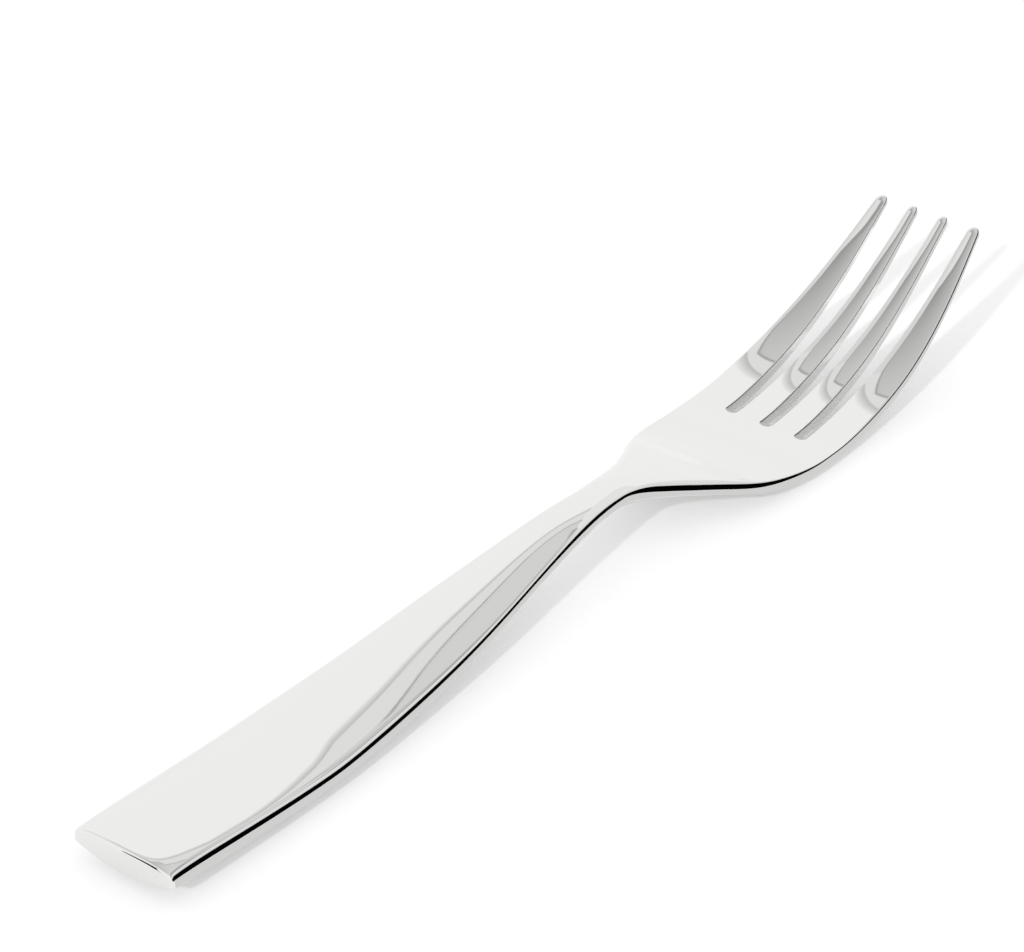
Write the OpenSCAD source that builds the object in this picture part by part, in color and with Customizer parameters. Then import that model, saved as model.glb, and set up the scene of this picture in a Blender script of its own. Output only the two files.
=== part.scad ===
// Four-tine pastry fork of polished stainless steel, drawn in millimetres.
// The fork lies along X with its butt at -X and its tips at +X, its left side at +Y, and it stands on z = 0.
// The real fork is one forging. It is drawn as seven sections that meet face to face on shared planes.

/* [Overall] */
// Length from the butt to the tips of the tines
fork_l = 150; // [120:1:200]

/* [Handle] */
// Width of the square butt
butt_w = 14.3; // [11:0.1:17]
// Thickness along the middle of the butt
butt_t = 3.7; // [3:0.05:4.5]
// Height of the side wall at the butt
butt_edge_t = 1.75; // [1.2:0.05:2.2]
// Rise of the top from its edges to its middle at the butt
butt_crown = 0.55; // [0:0.05:0.8]
// Underside of the butt above the table
butt_rise = 1.3; // [0:0.05:3]
// Corner radius of the butt, seen from above
butt_corner_r = 0.5; // [0.5:0.1:2.5]
// Fall of the top of the butt towards its end face
butt_fall = 0.35; // [0:0.05:0.5]
// Length over which the top of the butt falls
butt_fall_l = 7; // [3:0.5:12]
// Greatest width of the handle
handle_w = 14.9; // [12:0.1:19]
// Thickness along the middle of the handle
handle_t = 4.15; // [3.2:0.05:4.8]
// Height of the side wall along the handle
handle_edge_t = 1.5; // [1.2:0.05:2.2]
// Rise of the top of the handle from its edges to its middle
handle_crown = 0.75; // [0:0.05:0.9]

/* [Neck] */
// Width of the neck at its narrowest
neck_w = 5.3; // [4:0.1:8]
// Thickness along the middle of the neck
neck_t = 3.3; // [2.8:0.05:4.5]
// Height of the side wall at the neck
neck_edge_t = 1; // [0.9:0.05:1.8]
// Rise of the top of the neck from its edges to its middle
neck_crown = 0.7; // [0.2:0.05:0.8]
// Underside of the neck above the table
neck_rise = 5.6; // [2:0.1:9]

/* [Head] */
// Greatest width of the head
head_w = 21.6; // [19:0.1:26]
// Thickness of the palm along its middle
palm_t = 2; // [1.4:0.1:2.6]
// Height of the side wall at the palm
palm_edge_t = 1.35; // [1.1:0.05:1.7]
// Depth of the hollow in the top of the palm
palm_dish = 0.2; // [0:0.05:0.5]

/* [Tines] */
// Length of the slots between the tines
tine_l = 35.5; // [26:0.5:40]
// Width over all four tips
tips_w = 15.4; // [14.8:0.1:18]
// Underside of the tips above the table
tip_rise = 16.4; // [8:0.1:22]
// Thickness of the tips along their middle
tip_t = 0.95; // [0.7:0.05:1.5]
// Thickness of the tips at the sides of the head
tip_edge_t = 0.85; // [0.6:0.05:1.2]
// Extra rounding of each tine's own top and underside at the tip
tine_crown = 0.15; // [0:0.05:0.2]
// Width of a slot at its bottom
slot_w = 1.5; // [1:0.1:2]
// Distance between slots at their bottoms
slot_pitch = 5.2; // [4.8:0.1:5.8]
// Width of the gap between two tips
tip_gap = 3.2; // [2.4:0.1:3.4]
// Distance between tips
tip_pitch = 4.55; // [4.4:0.05:4.8]
// Length over which the end of a tine is rounded off
nose_l = 0.8; // [0.4:0.1:2]

/* [Edges] */
// Greatest height of the rounding of the top edge, at the butt
edge_r = 1.4; // [0.8:0.05:1.5]
// Greatest radius of the edges of the underside
underside_edge_r = 0.4; // [0.1:0.05:0.6]
// Edge radius along the slots
slot_edge_r = 0.2; // [0.1:0.02:0.3]
// Edge radius round the end face of the butt
end_edge_r = 0.3; // [0.1:0.05:0.5]

/* [Hidden] */
steel = "lightsteelblue";

// The form is held by twenty control stations: the butt, three on the handle, four down the waist, three on
// the neck, three up the shoulders, three on the head, two along the sweep of the tines, and the tips.
station_shares = [0, 0.1, 0.16, 0.195, 0.285, 0.36, 0.43, 0.495, 0.535, 0.55, 0.56, 0.595, 0.645, 0.675,
                  0.73, 0.755, 0.79, 0.87, 0.94, 1];

// How far each quantity has gone from handle to neck, from neck to head, and from head to tips
width_shares = [[0.19, 0.36, 0.65, 0.87], [0.16, 0.62, 0.91], [0.09, 0.5]];
rise_shares = [[0.14, 0.4, 0.7, 0.99], [0.17, 0.46, 0.72], [0.19, 0.55]];
thickness_shares = [[0.1, 0.35, 0.65, 0.9], [0.3, 0.6, 0.9], [0.35, 0.7]];
wall_shares = [[0, 0.4, 1, 0.8], [1.8, 1.8, 0.8], [0.35, 0.7]];
crown_shares = [[0.1, 0.35, 0.65, 0.9], [0.5, 0.6, 0.6], [0.35, 0.7]];
slot_shares = [[0, 0, 0, 0], [0, 0, 0], [0.27, 0.73]];

// Rounding of the top edge: its height at each station, as a share of its greatest, and its width at the five
// key sections, as a share of its height
edge_r_shares = [1, 0.81, 0.77, 0.78, 0.75, 0.53, 0.41, 0.62, 0.5, 0.5, 0.38, 1, 0.81, 0.43, 0.25,
                 0.13, 0.18, 0.21, 0.21, 0.21];
spread_shares = [1.25, 1.55, 1.55, 1, 1];

// Stations at which one section ends and the next begins, and from which sections stand square to the curve
neck_start = 6;
palm_start = 11;
square_from = 4;
last = len(station_shares) - 1;

// Rings per station, points in a rounded edge, and spaces across the top of a wide or a narrow section
rings_per_station = 4;
edge_steps = 4;
wide_steps = 10;
tine_steps = 4;

// Places along the round bottom of a slot, and angles round the nose of a tine and the end of the butt
root_shares = [0, 0.04, 0.15, 0.35, 0.65, 1];
nose_angles = [0, 20, 40, 60, 75, 85];
tine_rings = 16;

// Smallest share of its radius that a slot's edge keeps where the slot closes
closed_edge_share = 0.1;

// Greatest shares of a strip's width and of its side wall that the rounded edges take
edge_width_share = 0.45;
top_edge_share = 0.78;
underside_edge_share = 0.2;

root_x = fork_l - tine_l;

function lerp(a, b, s) = a + (b - a) * s;
function smooth(s) = let(c = min(max(s, 0), 1)) c * c * (3 - 2 * c);

// A row of control values, one for each station, from the values at the five key sections. A value is added
// past each end so that the curve starts and stops on its end values.
function row(butt, handle, neck, head, tip, shares) =
    let(v = concat([butt, handle, handle, handle],
                   [for (s = shares[0]) lerp(handle, neck, s)],
                   [neck, neck, neck],
                   [for (s = shares[1]) lerp(neck, head, s)],
                   [head, head, head],
                   [for (s = shares[2]) lerp(head, tip, s)],
                   [tip]))
    closed_row(v);
function closed_row(v) = concat([2 * v[0] - v[1]], v, [2 * v[last] - v[last - 1]]);

// Uniform cubic B-spline through a row, and its rate of change, at place t, counted in stations
function spline(c, t) =
    let(i = min(floor(t), last - 1), u = t - i)
    ((1 - u) ^ 3 * c[i] + (3 * u ^ 3 - 6 * u ^ 2 + 4) * c[i + 1]
        + (-3 * u ^ 3 + 3 * u ^ 2 + 3 * u + 1) * c[i + 2] + u ^ 3 * c[i + 3]) / 6;
function rate(c, t) =
    let(i = min(floor(t), last - 1), u = t - i)
    (-(1 - u) ^ 2 * c[i] + (3 * u ^ 2 - 4 * u) * c[i + 1]
        + (-3 * u ^ 2 + 2 * u + 1) * c[i + 2] + u ^ 2 * c[i + 3]) / 2;

x_row = closed_row(station_shares * fork_l);
width_row = row(butt_w, handle_w, neck_w, head_w, tips_w, width_shares);
rise_row = row(butt_rise, 0, neck_rise, 0, tip_rise, rise_shares);
thickness_row = row(butt_t, handle_t, neck_t, palm_t, tip_t, thickness_shares);
wall_row = row(butt_edge_t, handle_edge_t, neck_edge_t, palm_edge_t, tip_edge_t, wall_shares);
crown_row = row(butt_crown, handle_crown, neck_crown, -palm_dish, 0, crown_shares);
radius_row = closed_row(edge_r_shares * edge_r);
spread_row = row(spread_shares[0], spread_shares[1], spread_shares[2], spread_shares[3], spread_shares[4],
                 thickness_shares);
pitch_row = row(slot_pitch, slot_pitch, slot_pitch, slot_pitch, tip_pitch, slot_shares);
gap_row = row(slot_w, slot_w, slot_w, slot_w, tip_gap, slot_shares);
middle_row = rise_row + thickness_row / 2;

function half_w(t) = spline(width_row, t) / 2;
function x_at(t) = spline(x_row, t);

// Place whose X is x, by halving the interval
function place_of(x, lo = 0, hi = last, steps = 30) =
    let(t = (lo + hi) / 2)
    steps == 0 ? t : x_at(t) < x ? place_of(x, t, hi, steps - 1) : place_of(x, lo, t, steps - 1);

// Lean of a section: none at the butt, square to the middle curve of the blank from square_from onwards
function lean(t) = atan2(rate(middle_row, t), rate(x_row, t)) * smooth(t / square_from);

// A point of the section at t, from its distance to the left and above the middle of the blank
function placed(t, p) =
    let(a = lean(t))
    [x_at(t) - fork_l / 2 - p[1] * sin(a), p[0], spline(middle_row, t) + p[1] * cos(a)];

// A strip is the part of a section from lo to hi: [t, lo, hi, edge radius at lo, edge radius at hi, its own
// crown, inset of its top and underside, fall of its top]
function strip(t, lo, hi, r_lo, r_hi, own_crown = 0, inset = 0, fall = 0) =
    [t, lo, hi, r_lo, r_hi, own_crown, inset, fall];

// Height and slope of the top (side = 1) or the underside (side = -1) of a strip at y
function bulge(s, side) =
    side > 0 ? spline(crown_row, s[0])
             : spline(thickness_row, s[0]) - spline(wall_row, s[0]) - spline(crown_row, s[0]);
function height(s, side, y) =
    let(across = y / half_w(s[0]), own = (2 * y - s[1] - s[2]) / (s[2] - s[1]),
        inset = s[6] + (side > 0 ? s[7] : 0))
    side * (spline(thickness_row, s[0]) / 2 - inset - bulge(s, side) * across ^ 2 - s[5] * own ^ 2);
function slope(s, side, y) =
    let(own_slope = 4 * s[5] * (2 * y - s[1] - s[2]) / (s[2] - s[1]) ^ 2)
    -side * (2 * bulge(s, side) * y / half_w(s[0]) ^ 2 + own_slope);

// Height and width of a rounded edge, a quarter of an ellipse, at hand (1 at hi, -1 at lo)
function edge_y(s, hand) = hand > 0 ? s[2] : s[1];
function edge_h(s, side, hand) =
    let(wall = spline(wall_row, s[0]) - 2 * s[5] - 2 * s[6] - s[7],
        r = min(hand > 0 ? s[4] : s[3], edge_width_share * (s[2] - s[1])))
    side > 0 ? min(r, top_edge_share * wall) : min(r, underside_edge_r, underside_edge_share * wall);
function edge_w(s, side, hand) =
    let(spread = side > 0 ? spline(spread_row, s[0]) : 1)
    min(edge_h(s, side, hand) * spread, edge_width_share * (s[2] - s[1]));

// Place on the ellipse where the surface runs into it
function start_angle(s, side, hand) =
    let(w = edge_w(s, side, hand), y = edge_y(s, hand), first = slope_angle(s, side, hand, y - hand * w))
    slope_angle(s, side, hand, y - hand * w * (1 - sin(first)));
function slope_angle(s, side, hand, y) =
    atan(-hand * side * slope(s, side, y) * edge_w(s, side, hand) / edge_h(s, side, hand));
function touch_y(s, side, hand) =
    edge_y(s, hand) - hand * edge_w(s, side, hand) * (1 - sin(start_angle(s, side, hand)));

// Rounded edge, from the surface to the side wall
function rounded_edge(s, side, hand) =
    let(a = start_angle(s, side, hand), w = edge_w(s, side, hand), r = edge_h(s, side, hand),
        y = edge_y(s, hand) - hand * w, h = height(s, side, touch_y(s, side, hand)) - side * r * cos(a))
    [for (i = [0 : edge_steps])
        let(b = lerp(a, 90, i / edge_steps))
        [y + hand * w * sin(b), h + side * r * cos(b)]];

function reversed(v) = [for (i = [len(v) - 1 : -1 : 0]) v[i]];

// One half of the outline of a strip, from lo to hi
function half_outline(s, side, steps) =
    let(from = touch_y(s, side, -1), to = touch_y(s, side, 1))
    concat(reversed(rounded_edge(s, side, -1)),
           [for (i = [1 : steps - 1]) let(y = lerp(from, to, i / steps)) [y, height(s, side, y)]],
           rounded_edge(s, side, 1));
function outline(s, steps) = concat(half_outline(s, 1, steps), reversed(half_outline(s, -1, steps)));

// Ring of points of a strip, drawn in about its middle by a scale
function ring(s, steps, scale = 1) =
    let(y = (s[1] + s[2]) / 2, h = (height(s, 1, y) + height(s, -1, y)) / 2)
    [for (p = outline(s, steps)) placed(s[0], [lerp(y, p[0], scale), lerp(h, p[1], scale)])];

// Closed solid through a list of rings of equal length
module loft(rings) {
    n = len(rings[0]);
    m = len(rings) - 1;
    sides = [for (i = [0 : m - 1], j = [0 : n - 1])
        let(a = i * n + j, b = i * n + (j + 1) % n)
        each [[a, b, a + n], [b, b + n, a + n]]];
    first_cap = [for (j = [0 : n / 2 - 2]) each [[j, n - 1 - j, j + 1], [j + 1, n - 1 - j, n - 2 - j]]];
    last_cap = [for (f = first_cap) [f[2] + m * n, f[1] + m * n, f[0] + m * n]];
    polyhedron(points = [for (r = rings) each r], faces = concat(sides, first_cap, last_cap));
}

// Ring across the whole blank. Near the butt its corners and its end edges are drawn in and its top falls.
function drawn_in(r, d) = d < r ? r - sqrt(r ^ 2 - (r - d) ^ 2) : 0;
function wide_ring(t) =
    let(x = x_at(t), w = half_w(t) - drawn_in(butt_corner_r, x), r = spline(radius_row, t),
        fall = butt_fall / butt_fall_l * drawn_in(butt_fall_l, x))
    ring(strip(t, -w, w, r, r, 0, drawn_in(end_edge_r, x), fall), wide_steps);
function wide_rings(from, to) =
    [for (i = [0 : (to - from) * rings_per_station]) wide_ring(from + i / rings_per_station)];

// Half width of the gap of a slot, which opens in a half circle from its bottom
function gap_half(t) =
    let(open = min(max((x_at(t) - root_x) / (slot_w / 2), 0), 1))
    spline(gap_row, t) / 2 * sqrt(1 - (1 - open) ^ 2);

// Strip of tine number k, counted from the right: -1.5, -0.5, 0.5 and 1.5
function tine_strip(t, k) =
    let(lo = k < -1 ? -half_w(t) : (k - 0.5) * spline(pitch_row, t) + gap_half(t),
        hi = k > 1 ? half_w(t) : (k + 0.5) * spline(pitch_row, t) - gap_half(t),
        inner_r = slot_edge_r * max(2 * gap_half(t) / spline(gap_row, t), closed_edge_share),
        outer_r = spline(radius_row, t),
        along = (x_at(t) - root_x) / tine_l)
    strip(t, lo, hi, k < -1 ? outer_r : inner_r, k > 1 ? outer_r : inner_r, tine_crown * smooth(along));

module tine(k) {
    nose_start = place_of(fork_l - nose_l);
    slot_open = place_of(root_x + slot_w / 2);
    rings = concat(
        [for (s = root_shares) ring(tine_strip(place_of(root_x + s * slot_w / 2), k), tine_steps)],
        [for (i = [1 : tine_rings - 1])
            ring(tine_strip(lerp(slot_open, nose_start, i / tine_rings), k), tine_steps)],
        [for (a = nose_angles)
            ring(tine_strip(place_of(fork_l - nose_l * (1 - sin(a))), k), tine_steps, cos(a))]);
    color(steel) loft(rings);
}

module handle() {
    depths = [end_edge_r, butt_corner_r, butt_fall_l];
    end_rings = [for (i = [0 : len(depths) - 1], a = reversed(nose_angles))
        let(x = depths[i] * (1 - sin(a)))
        if (i == 0 || x > depths[i - 1]) wide_ring(place_of(x))];
    next = (floor(place_of(butt_fall_l) * rings_per_station) + 1) / rings_per_station;
    color(steel) loft(concat([wide_ring(0)], end_rings, wide_rings(next, neck_start)));
}

module neck() {
    color(steel) loft(wide_rings(neck_start, palm_start));
}

module palm() {
    root = place_of(root_x);
    color(steel) loft(concat(wide_rings(palm_start, floor(root)), [wide_ring(root)]));
}

module left_outer_tine() tine(1.5);
module left_inner_tine() tine(0.5);
module right_inner_tine() tine(-0.5);
module right_outer_tine() tine(-1.5);

handle();
neck();
palm();
left_outer_tine();
left_inner_tine();
right_inner_tine();
right_outer_tine();
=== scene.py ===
from math import atan, atan2, cos, pi, radians, sin, sqrt
import bpy
from mathutils import Matrix, Vector


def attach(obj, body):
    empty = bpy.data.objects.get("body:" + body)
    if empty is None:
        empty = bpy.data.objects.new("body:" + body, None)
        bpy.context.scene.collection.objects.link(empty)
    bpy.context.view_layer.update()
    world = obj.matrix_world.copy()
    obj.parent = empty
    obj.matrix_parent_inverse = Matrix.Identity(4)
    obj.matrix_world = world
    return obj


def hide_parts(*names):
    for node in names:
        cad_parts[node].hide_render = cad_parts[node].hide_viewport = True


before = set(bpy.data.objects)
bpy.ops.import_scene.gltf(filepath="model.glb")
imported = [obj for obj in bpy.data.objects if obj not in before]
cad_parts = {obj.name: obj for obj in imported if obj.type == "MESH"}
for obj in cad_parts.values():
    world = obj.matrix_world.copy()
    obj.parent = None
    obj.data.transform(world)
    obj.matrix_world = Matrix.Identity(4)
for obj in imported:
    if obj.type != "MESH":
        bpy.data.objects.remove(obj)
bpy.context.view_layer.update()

# Handle
# The real fork is one blank of stainless steel, rolled to thickness, forged, bent and mirror polished. The
# handle is its thick, square-ended half: crowned on top, fuller below, with soft buffed edges. Its run of
# control sections, from the butt to the tips, carries on through every other part of the blank.
MM = 0.001
FORK_LENGTH = 150
SECTION_PLACES = [0, 0.1, 0.16, 0.195, 0.285, 0.36, 0.43, 0.495, 0.535, 0.55, 0.56, 0.595, 0.645, 0.675,
                  0.73, 0.755, 0.79, 0.87, 0.94, 1]
LAST_SECTION = len(SECTION_PLACES) - 1
WIDTH_STEPS = ((0.19, 0.36, 0.65, 0.87), (0.16, 0.62, 0.91), (0.09, 0.5))
RISE_STEPS = ((0.14, 0.4, 0.7, 0.99), (0.17, 0.46, 0.72), (0.19, 0.55))
THICKNESS_STEPS = ((0.1, 0.35, 0.65, 0.9), (0.3, 0.6, 0.9), (0.35, 0.7))
WALL_STEPS = ((0, 0.4, 1, 0.8), (1.8, 1.8, 0.8), (0.35, 0.7))
SLOT_STEPS = ((0, 0, 0, 0), (0, 0, 0), (0.27, 0.73))
EDGE_HEIGHT = 1.4
EDGE_SHARES = (1, 0.81, 0.77, 0.78, 0.75, 0.53, 0.41, 0.62, 0.5, 0.5, 0.38, 1, 0.81, 0.43, 0.25, 0.13, 0.18,
               0.21, 0.21, 0.21)


def between(a, b, share):
    return a + (b - a) * share


def eased(share):
    share = min(max(share, 0), 1)
    return share * share * (3 - 2 * share)


def run_past_ends(row):
    return [2 * row[0] - row[1]] + row + [2 * row[-1] - row[-2]]


def blank_row(butt, handle, neck, head, tips, steps):
    """Control values from the butt to the tips, one for each section, from five key values."""
    waist, shoulders, sweep = steps
    return run_past_ends([butt] + [handle] * 3 + [between(handle, neck, s) for s in waist] + [neck] * 3
                         + [between(neck, head, s) for s in shoulders] + [head] * 3
                         + [between(head, tips, s) for s in sweep] + [tips])


def span(t):
    first = min(max(int(t), 0), LAST_SECTION - 1)
    return first, t - first


def at(row, t):
    i, u = span(t)
    return ((1 - u) ** 3 * row[i] + (3 * u ** 3 - 6 * u ** 2 + 4) * row[i + 1]
            + (-3 * u ** 3 + 3 * u ** 2 + 3 * u + 1) * row[i + 2] + u ** 3 * row[i + 3]) / 6


def climb(row, t):
    i, u = span(t)
    return (-(1 - u) ** 2 * row[i] + (3 * u ** 2 - 4 * u) * row[i + 1]
            + (-3 * u ** 2 + 2 * u + 1) * row[i + 2] + u ** 2 * row[i + 3]) / 2


place = run_past_ends([s * FORK_LENGTH for s in SECTION_PLACES])
width = blank_row(14.3, 14.9, 5.3, 21.6, 15.4, WIDTH_STEPS)
rise = blank_row(1.3, 0, 5.6, 0, 16.4, RISE_STEPS)
thickness = blank_row(3.7, 4.15, 3.3, 2, 0.95, THICKNESS_STEPS)
side_wall = blank_row(1.75, 1.5, 1, 1.35, 0.85, WALL_STEPS)
crown = run_past_ends([0.61, 0.59, 0.87, 0.73, 0.78, 0.745, 0.72, 0.7, 0.7, 0.7, 0.7, 0.25, 0.16, 0.16,
                       -0.2, -0.2, -0.2, -0.13, -0.06, 0])
slot_pitch = blank_row(5.2, 5.2, 5.2, 5.2, 4.55, SLOT_STEPS)
slot_gap = blank_row(1.5, 1.5, 1.5, 1.5, 3.2, SLOT_STEPS)
edge_height = run_past_ends([EDGE_HEIGHT * s for s in EDGE_SHARES])
edge_spread = run_past_ends([1, 1, 1.5] + [1.55] * 8 + [1.38, 1.22, 1.06] + [1] * 6)
middle = [r + t / 2 for r, t in zip(rise, thickness)]


def place_of(x):
    """The place along the run of sections whose distance from the butt is x."""
    low, high = 0, LAST_SECTION
    for _ in range(40):
        t = (low + high) / 2
        if at(place, t) < x:
            low = t
        else:
            high = t
    return t


def lean(t):
    return atan2(climb(middle, t), climb(place, t)) * eased(t / 4)


def round_off(radius, x):
    """How far a corner of this radius draws the surface in at a distance x from the end."""
    return radius - sqrt(max(radius ** 2 - (radius - x) ** 2, 0)) if x < radius else 0


FLATTEST_UP_TO, FLATNESS_ENDS_OVER, FLATTER_BY = 6.5, 22.8, 1.7
EDGE_SHARE_OF_WIDTH, EDGE_SHARE_OF_WALL = 0.45, 0.78
UNDERSIDE_EDGE, UNDERSIDE_SHARE_OF_WALL = 0.4, 0.2


def outline(t, right, left, edges, own_crown=0, inset=0, fall=0, across=32, round_steps=9):
    """Outline of a strip of the blank from its right side to its left one, top first and then the underside.
    Each point is its distance to the left, its height, and the direction that the surface faces there. edges
    holds the height and the spread of the rounding of the top edge, at the right and at the left. inset draws
    in the top and the underside, and fall the top alone."""
    half, thick, wall, bow = at(width, t) / 2, at(thickness, t), at(side_wall, t), at(crown, t)
    flatness = FLATTER_BY * (1 - eased((at(place, t) - FLATTEST_UP_TO) / FLATNESS_ENDS_OVER))
    room = wall - 2 * own_crown - 2 * inset - fall
    halves = []
    top, underside = (1, bow, 2 + flatness, inset + fall), (-1, thick - wall - bow, 2, inset)
    for side, bulge, power, drawn in (top, underside):
        def height(y):
            own = (2 * y - right - left) / (left - right)
            return side * (thick / 2 - drawn - bulge * abs(y / half) ** power - own_crown * own ** 2)

        def slope(y):
            own = 4 * own_crown * (2 * y - right - left) / (left - right) ** 2
            return -side * (power * bulge * y / half ** 2 * abs(y / half) ** (power - 2) + own)

        turns = []
        for hand, edge, (tall, spread) in ((-1, right, edges[0]), (1, left, edges[1])):
            widest = EDGE_SHARE_OF_WIDTH * (left - right)
            if side > 0:
                tall = min(tall, widest, EDGE_SHARE_OF_WALL * room)
                wide = min(tall * spread, widest)
            else:
                wide = tall = min(tall, widest, UNDERSIDE_EDGE, UNDERSIDE_SHARE_OF_WALL * room)
            start = atan(-hand * side * slope(edge - hand * wide) * wide / tall)
            start = atan(-hand * side * slope(edge - hand * wide * (1 - sin(start))) * wide / tall)
            touch = edge - hand * wide * (1 - sin(start))
            turn_y, turn_h = edge - hand * wide, height(touch) - side * tall * cos(start)
            turn = []
            for i in range(round_steps + 1):
                a = between(start, pi / 2, i / round_steps)
                size = sqrt((tall * sin(a)) ** 2 + (wide * cos(a)) ** 2)
                turn.append((turn_y + hand * wide * sin(a), turn_h + side * tall * cos(a),
                             hand * tall * sin(a) / size, side * wide * cos(a) / size))
            turns.append(turn)
        flat = []
        for i in range(1, across):
            y = between(turns[0][0][0], turns[1][0][0], i / across)
            size = sqrt(1 + slope(y) ** 2)
            flat.append((y, height(y), -slope(y) * side / size, side / size))
        halves.append(turns[0][::-1] + flat + turns[1])
    return halves[0] + halves[1][::-1]


def stood_up(t, points, scale=1):
    """The outline in its place on the blank, drawn in about its middle by a scale. With each point goes the
    direction of the outline there."""
    a, x, up = lean(t), at(place, t) - FORK_LENGTH / 2, at(middle, t)
    quarter = len(points) // 4
    y0 = (points[0][0] + points[2 * quarter - 1][0]) / 2
    h0 = (points[quarter][1] + points[-quarter - 1][1]) / 2
    ring = []
    for y, h, out_y, out_h in points:
        y, h = between(y0, y, scale), between(h0, h, scale)
        ring.append(((x - h * sin(a), y, up + h * cos(a)), (out_y * sin(a), out_h, -out_y * cos(a))))
    return ring


def polished(make, u, step=0.001):
    """The ring that make gives at u, in metres, with the normals of the true surface."""
    points, normals = [], []
    before, after = make(u - step), make(u + step)
    way = 1 if sum(r[0] - q[0] for (q, _), (r, _) in zip(before, after)) < 0 else -1
    for (p, (a, b, c)), (q, _), (r, _) in zip(make(u), before, after):
        l, m, n = r[0] - q[0], r[1] - q[1], r[2] - q[2]
        points.append([v * MM for v in p])
        normals.append(way * Vector((m * c - n * b, n * a - l * c, l * b - m * a)).normalized())
    return points, normals


def steel_piece(name, rings):
    """One closed mesh through a list of rings, shaded with the normals of the true surface."""
    mesh = bpy.data.meshes.new(name)
    count, last = len(rings[0][0]), (len(rings) - 1) * len(rings[0][0])
    faces = []
    for i in range(len(rings) - 1):
        for j in range(count):
            a, b = i * count + j, i * count + (j + 1) % count
            faces.append((a, b, b + count, a + count))
    sides = len(faces)
    for j in range(count // 2 - 1):
        faces.append((j, count - 1 - j, count - 2 - j, j + 1))
        faces.append((last + j, last + j + 1, last + count - 2 - j, last + count - 1 - j))
    mesh.from_pydata([p for points, _ in rings for p in points], [], faces)
    mesh.polygons.foreach_set("use_smooth", [True] * len(faces))
    normals = [n for _, ring_normals in rings for n in ring_normals]
    corner_normals = []
    for polygon in mesh.polygons:
        flat = polygon.index >= sides
        corner_normals += [polygon.normal.copy() if flat else normals[v] for v in polygon.vertices]
    mesh.normals_split_custom_set(corner_normals)
    piece = bpy.data.objects.new(name, mesh)
    bpy.context.scene.collection.objects.link(piece)
    return piece


def polishing_marks():
    """Node group: the hairlines that buffing leaves along the blank, and the spots rubbed where it rests."""
    group = bpy.data.node_groups.new("polishing marks", "ShaderNodeTree")
    for name, value in (("Roughness of the polish", 0.03), ("Roughness of the marks", 0.05)):
        group.interface.new_socket(name, in_out="INPUT", socket_type="NodeSocketFloat").default_value = value
    for name in ("Roughness", "Height"):
        group.interface.new_socket(name, in_out="OUTPUT", socket_type="NodeSocketFloat")
    node, link = group.nodes.new, group.links.new
    source, result = node("NodeGroupInput"), node("NodeGroupOutput")
    where = node("ShaderNodeTexCoord")
    stretch = node("ShaderNodeMapping")
    stretch.inputs["Scale"].default_value = (120, 5200, 5200)
    hairlines = node("ShaderNodeTexNoise")
    hairlines.inputs["Scale"].default_value = 1
    hairlines.inputs["Detail"].default_value = 3
    bloom = node("ShaderNodeTexNoise")
    bloom.inputs["Scale"].default_value = 90
    bloom.inputs["Detail"].default_value = 2
    link(where.outputs["Object"], stretch.inputs["Vector"])
    link(stretch.outputs["Vector"], hairlines.inputs["Vector"])
    link(where.outputs["Object"], bloom.inputs["Vector"])
    height_above_table = node("ShaderNodeSeparateXYZ")
    link(where.outputs["Object"], height_above_table.inputs["Vector"])
    rubbed = node("ShaderNodeMapRange")
    for name, value in (("From Min", 0.0007), ("From Max", 0.0001), ("To Min", 0), ("To Max", 2)):
        rubbed.inputs[name].default_value = value
    link(height_above_table.outputs["Z"], rubbed.inputs["Value"])
    clear = node("ShaderNodeMapRange")
    for name, value in (("From Min", 0.45), ("From Max", 0.75)):
        clear.inputs[name].default_value = value
    link(bloom.outputs["Fac"], clear.inputs["Value"])
    marked = node("ShaderNodeMath")
    link(rubbed.outputs["Result"], marked.inputs[0])
    link(clear.outputs["Result"], marked.inputs[1])
    lines = node("ShaderNodeMath")
    lines.operation = "MULTIPLY"
    link(marked.outputs["Value"], lines.inputs[0])
    link(hairlines.outputs["Fac"], lines.inputs[1])
    rough = node("ShaderNodeMath")
    rough.operation = "MULTIPLY_ADD"
    link(lines.outputs["Value"], rough.inputs[0])
    link(source.outputs["Roughness of the marks"], rough.inputs[1])
    link(source.outputs["Roughness of the polish"], rough.inputs[2])
    link(rough.outputs["Value"], result.inputs["Roughness"])
    link(hairlines.outputs["Fac"], result.inputs["Height"])
    return group


steel = bpy.data.materials.new("mirror-polished stainless steel")
steel.use_nodes = True
shader = steel.node_tree.nodes["Principled BSDF"]
shader.inputs["Base Color"].default_value = (0.84, 0.84, 0.83, 1)
shader.inputs["Metallic"].default_value = 1
marks = steel.node_tree.nodes.new("ShaderNodeGroup")
marks.node_tree = polishing_marks()
marks.inputs["Roughness of the polish"].default_value = 0.03
marks.inputs["Roughness of the marks"].default_value = 0.05
bump = steel.node_tree.nodes.new("ShaderNodeBump")
bump.inputs["Strength"].default_value = 0.02
bump.inputs["Distance"].default_value = 0.00001
steel.node_tree.links.new(marks.outputs["Roughness"], shader.inputs["Roughness"])
steel.node_tree.links.new(marks.outputs["Height"], bump.inputs["Height"])
steel.node_tree.links.new(bump.outputs["Normal"], shader.inputs["Normal"])


def finish_steel(piece, node_name):
    piece.data.materials.append(steel)
    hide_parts(node_name)
    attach(piece, "root")


BUTT_CORNER, BUTT_EDGE = 0.5, 0.3
BUTT_FALL, BUTT_FALL_LENGTH = 0.35, 7


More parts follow.
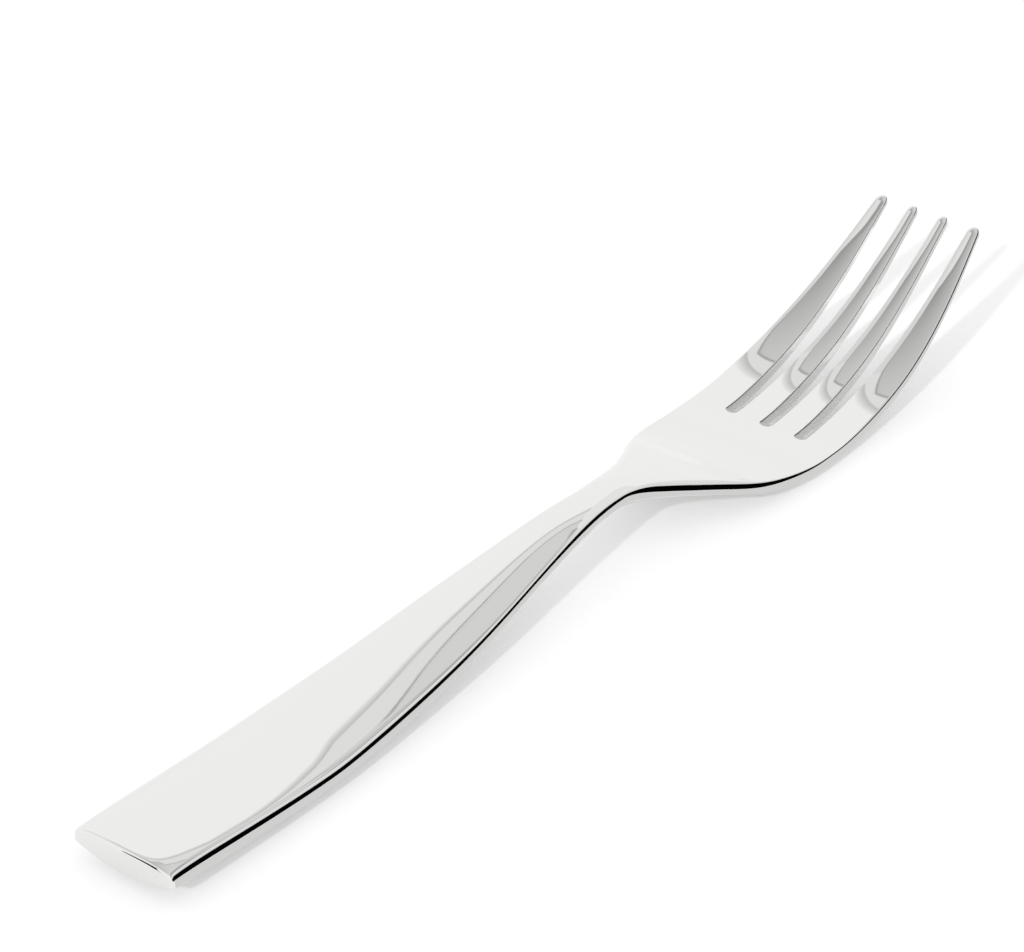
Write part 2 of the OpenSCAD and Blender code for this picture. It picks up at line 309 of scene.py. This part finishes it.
def wide_ring(t):
    """Ring across the whole blank. Near the butt its corners and the edges of its end face are drawn in, and
    its top falls a little."""
    x = at(place, t)
    half = at(width, t) / 2 - round_off(BUTT_CORNER, x)
    edge = (at(edge_height, t), at(edge_spread, t))
    fall = BUTT_FALL / BUTT_FALL_LENGTH * round_off(BUTT_FALL_LENGTH, x)
    return stood_up(t, outline(t, -half, half, (edge, edge), 0, round_off(BUTT_EDGE, x), fall))


def rounding_rings(radius, angles):
    return [polished(lambda a: wide_ring(place_of(radius * (1 - sin(a)))), radians(a)) for a in angles]


def run_of_rings(make, first, last, count):
    return [polished(make, between(first, last, i / count)) for i in range(count + 1)]


NECK_START, PALM_START = 6, 11
butt_rings = rounding_rings(BUTT_EDGE, [89.5, 82, 74, 66, 58, 50, 42, 34, 26, 18, 10])
butt_rings += rounding_rings(BUTT_CORNER, [21, 16, 11, 6, 1])
butt_rings += rounding_rings(BUTT_FALL_LENGTH, [67 - 3 * i for i in range(23)])
handle_rings = run_of_rings(wide_ring, place_of(BUTT_FALL_LENGTH), NECK_START, 80)
handle = steel_piece("handle_polished", butt_rings + handle_rings[1:])
finish_steel(handle, "handle")

# Neck
# The same blank where it is narrowest. It is left thick here and arches up off the table, because this is
# where a cake fork bends. It is forged and polished in one with the handle, so nothing marks where it begins.
neck = steel_piece("neck_polished", run_of_rings(wide_ring, NECK_START, PALM_START, 45))
finish_steel(neck, "neck")

# Palm
# The blank spreads in two shoulders and is rolled thin here, with a slight hollow in its top. It rests on the
# table and ends where the three slots begin.
TINE_LENGTH = 35.5
ROOT = FORK_LENGTH - TINE_LENGTH
palm = steel_piece("palm_polished", run_of_rings(wide_ring, PALM_START, place_of(ROOT), 45))
finish_steel(palm, "palm")

# Tines
# Four tines are left when the three round-bottomed slots are punched out of the blank. They sweep up and
# taper to narrow tips, and their sides are polished with the rest after the edges have been broken.
NOSE, SLOT_BOTTOM, SLOT_EDGE, TINE_CROWN = 0.8, 0.75, 0.2, 0.15


def gap_half(t):
    opened = min(max((at(place, t) - ROOT) / SLOT_BOTTOM, 0), 1)
    return at(slot_gap, t) / 2 * sqrt(1 - (1 - opened) ** 2)


def tine_ring(t, k, scale=1):
    """Ring of tine k, counted from the right: -1.5, -0.5, 0.5 and 1.5."""
    pitch, gap, half = at(slot_pitch, t), gap_half(t), at(width, t) / 2
    right = -half if k < -1 else (k - 0.5) * pitch + gap
    left = half if k > 1 else (k + 0.5) * pitch - gap
    slot_edge, outer_edge = (SLOT_EDGE * max(2 * gap / at(slot_gap, t), 0.1), 1), (at(edge_height, t), 1)
    edges = (outer_edge if k < -1 else slot_edge, outer_edge if k > 1 else slot_edge)
    own_crown = TINE_CROWN * eased((at(place, t) - ROOT) / TINE_LENGTH)
    return stood_up(t, outline(t, right, left, edges, own_crown, across=16, round_steps=6), scale)


slot_open, nose_start = place_of(ROOT + SLOT_BOTTOM), place_of(FORK_LENGTH - NOSE)
for name, k in (("right_outer", -1.5), ("right_inner", -0.5), ("left_inner", 0.5), ("left_outer", 1.5)):
    rings = [polished(lambda a: tine_ring(place_of(ROOT + SLOT_BOTTOM * (1 - cos(a))), k), radians(a))
             for a in (0.5, 8, 16, 24, 32, 40, 48, 56, 64, 72, 80, 88)]
    rings += run_of_rings(lambda t: tine_ring(t, k), slot_open, nose_start, 48)[1:-1]
    rings += [polished(lambda a: tine_ring(place_of(FORK_LENGTH - NOSE * (1 - sin(a))), k, cos(a)),
                       radians(a)) for a in (0, 10, 20, 30, 40, 50, 60, 70, 80, 87)]
    finish_steel(steel_piece(name + "_tine_polished", rings), name + "_tine")

# Table
# A large sheet of smooth matt white, which the fork touches under its palm and under the handle near the
# butt. It shows nothing but the fork's soft shadow, and the steel shows it as white too.
TABLE_REACH, TABLE_TOP = 3, -0.00001
table_mesh = bpy.data.meshes.new("white_table")
table_mesh.from_pydata([(x * TABLE_REACH, y * TABLE_REACH, TABLE_TOP)
                        for x, y in ((-1, -1), (1, -1), (1, 1), (-1, 1))], [], [(0, 1, 2, 3)])
table = bpy.data.objects.new("white_table", table_mesh)
bpy.context.scene.collection.objects.link(table)
white = bpy.data.materials.new("matt white sheet")
white.use_nodes = True
sheet = white.node_tree.nodes["Principled BSDF"]
sheet.inputs["Base Color"].default_value = (0.64, 0.64, 0.64, 1)
sheet.inputs["Roughness"].default_value = 1
sheet.inputs["Specular IOR Level"].default_value = 0
sheet.inputs["Emission Color"].default_value = (1, 1, 1, 1)
sheet_node, sheet_link = white.node_tree.nodes.new, white.node_tree.links.new
rays, seen = sheet_node("ShaderNodeLightPath"), sheet_node("ShaderNodeMath")
seen_or_passed, lift = sheet_node("ShaderNodeMath"), sheet_node("ShaderNodeMath")
seen.operation, lift.operation = "MULTIPLY_ADD", "MULTIPLY"
seen.inputs[1].default_value = 1.3
lift.inputs[1].default_value = 0.22
sheet_link(rays.outputs["Is Camera Ray"], seen.inputs[0])
sheet_link(rays.outputs["Is Glossy Ray"], seen.inputs[2])
sheet_link(seen.outputs["Value"], seen_or_passed.inputs[0])
sheet_link(rays.outputs["Is Transmission Ray"], seen_or_passed.inputs[1])
sheet_link(seen_or_passed.outputs["Value"], lift.inputs[0])
sheet_link(lift.outputs["Value"], sheet.inputs["Emission Strength"])
table_mesh.materials.append(white)

# Light tent
# A white tent of thin cloth stands over the table, lit evenly from outside, with one lamp low behind the
# butt for the soft shadow. Its roof is a shade darker than its walls, with seams and a fold along its rims.
# Low black cards at its right side and butt draw the dark lines on the steel; a grey card by the fork is
# painted shadow.
TENT_TURN = radians(39)
ROOF, SEAMS, RIGHT_SIDE, CARD_TOP, FOLD_FOOT = 480, 479, -195, 172, 295
world = bpy.data.worlds.new("white tent walls")
bpy.context.scene.world = world
world.use_nodes = True
world.node_tree.nodes["Background"].inputs["Color"].default_value = (1, 1, 1, 1)
world.node_tree.nodes["Background"].inputs["Strength"].default_value = 1
lamp = bpy.data.objects.new("low_lamp", bpy.data.lights.new("low_lamp", "SUN"))
bpy.context.scene.collection.objects.link(lamp)
lamp.data.energy = 1.3
lamp.data.angle = radians(3)
lamp.rotation_euler = Vector((-1.54, -0.36, 1)).to_track_quat("Z", "Y").to_euler()
lamp.visible_glossy = False


def cloth_panel(name, corners, brightness, fades_along=None, turn=TENT_TURN):
    """A panel that only reflections show. Its corners are in mm from the middle of the fork: away from the
    camera, to the left, and up, or with no turn along the fork, to its left, and up. Where the panel fades
    along a direction, brightness is two pairs, the place and the brightness of each end, and otherwise one
    number."""
    mesh = bpy.data.meshes.new(name)
    mesh.from_pydata(corners, [], [range(len(corners))])
    panel = bpy.data.objects.new(name, mesh)
    bpy.context.scene.collection.objects.link(panel)
    panel.rotation_euler.z = turn
    panel.scale = (MM, MM, MM)
    for rays_left_out in ("camera", "diffuse", "shadow"):
        setattr(panel, "visible_" + rays_left_out, False)
    lit = bpy.data.materials.new(name)
    lit.use_nodes = True
    lit.node_tree.nodes.clear()
    node, link = lit.node_tree.nodes.new, lit.node_tree.links.new
    glow = node("ShaderNodeEmission")
    if fades_along:
        where, along = node("ShaderNodeTexCoord"), node("ShaderNodeVectorMath")
        ramp = node("ShaderNodeMapRange")
        along.operation = "DOT_PRODUCT"
        along.inputs[1].default_value = fades_along
        link(where.outputs["Object"], along.inputs[0])
        link(along.outputs["Value"], ramp.inputs["Value"])
        for end, (distance, level) in zip(("Min", "Max"), brightness):
            ramp.inputs["From " + end].default_value = distance
            ramp.inputs["To " + end].default_value = level
        link(ramp.outputs["Result"], glow.inputs["Strength"])
    else:
        glow.inputs["Strength"].default_value = brightness
    link(glow.outputs["Emission"], node("ShaderNodeOutputMaterial").inputs["Surface"])
    mesh.materials.append(lit)


def roof_panel(name, corners, brightness, fades_along=None, z=ROOF):
    cloth_panel(name, [(u, v, z) for u, v in corners], brightness, fades_along)


def right_panel(name, corners, brightness, fades_along=None):
    cloth_panel(name, [(u, RIGHT_SIDE, z) for u, z in corners], brightness, fades_along)


def seam(name, line, wide, brightness):
    """A seam along a line of corners, on its left."""
    for i, ((u0, v0), (u1, v1)) in enumerate(zip(line, line[1:])):
        size = sqrt((u1 - u0) ** 2 + (v1 - v0) ** 2) / wide
        across_u, across_v = (v0 - v1) / size, (u1 - u0) / size
        roof_panel(name + "_" + str(i + 1), [(u0, v0), (u1, v1), (u1 + across_u, v1 + across_v),
                                             (u0 + across_u, v0 + across_v)], brightness, z=SEAMS)


back_edge = [(347, -187), (347, 20), (386, 60), (350, 112), (300, 166), (272, 203), (250, 240), (238, 272)]
left_edge = [(225, 288), (175, 275), (125, 250), (50, 202), (-25, 142), (-75, 90), (-250, -50)]
roof_panel("roof", [(-250, -187)] + back_edge + left_edge, ((-20, 0.75), (270, 0.37)), (0, 1, 0))
seam("roof_back_seam", back_edge, 7, 0.45)
seam("roof_left_seam", left_edge, 14, 0.38)
roof_panel("roof_back_part", [(347, -187), (410, -187), (410, 110), (350, 112), (386, 60), (347, 20)], 0.85)
roof_panel("roof_back_fold", [(410, -187), (440, -187), (440, 110), (410, 110)],
           ((412, 0.58), (440, 0.95)), (1, 0, 0))
roof_panel("roof_far_part", [(410, 110), (440, 110), (420, 520), (-250, 520), (-250, -50)] + left_edge[-2::-1]
           + back_edge[:2:-1], ((200, 0.88), (290, 0.78)), (1, 0, 0))
roof_panel("roof_right_seam", [(-250, RIGHT_SIDE), (300, RIGHT_SIDE), (300, -155), (-250, -155)], 0.5,
           z=SEAMS)
right_panel("right_wall", [(-600, CARD_TOP), (440, CARD_TOP), (440, ROOF), (170, ROOF), (170, FOLD_FOOT),
                           (-600, FOLD_FOOT)], ((CARD_TOP, 0.78), (280, 0.9)), (0, 0, 1))
right_panel("right_wall_fold", [(-600, FOLD_FOOT), (170, FOLD_FOOT), (170, ROOF), (-600, ROOF)],
            ((FOLD_FOOT, 0.84), (375, 0.42)), (0, 0, 1))
right_panel("black_card", [(-600, 0), (440, 0), (440, CARD_TOP), (-600, CARD_TOP)], 0.001)
cloth_panel("back_wall_foot", [(600, -400, 0), (600, 700, 0), (600, 700, 240), (600, -400, 240)],
            ((-260, 0.85), (-75, 0.99)), (0, 1, 0.8))
cloth_panel("small_black_card", [(-86.2, 7.9, 0), (-87.2, 1.8, 0), (-87.2, 1.8, 14), (-86.2, 7.9, 4)], 0.001,
            turn=0)
# Painted shadow: a grey card, seen only in reflections, stands for the fork's shade on the table at its
# right.
cloth_panel("painted_shadow_card", [(-73, -60, 0), (120, -60, 0), (120, -8.1, 0), (-73, -8.1, 0)], 0.74, turn=0)

# Camera
# A long lens looks down on the fork from the butt end and its right side, so that the handle comes forward
# and the tines point away.
azimuth, elevation, roll = radians(-51.1573), radians(31.8908), radians(-0.2595)
back = Vector((sin(azimuth) * cos(elevation), -cos(azimuth) * cos(elevation), sin(elevation)))
right = Vector((cos(azimuth), sin(azimuth), 0))
lens = bpy.data.cameras.new("long_lens")
lens.sensor_width = 36
lens.lens = 145.458
camera_distance = 0.48445
camera = bpy.data.objects.new("long_lens", lens)
bpy.context.scene.collection.objects.link(camera)
aim = Vector((1.4984, 9.0627, 9.7375)) * MM
camera.matrix_world = (Matrix.Translation(aim + back * camera_distance)
                       @ (Matrix((right, back.cross(right), back)).transposed()
                          @ Matrix.Rotation(roll, 3, "Z")).to_4x4())
bpy.context.scene.camera = camera
bpy.context.scene.view_settings.view_transform = "Standard"
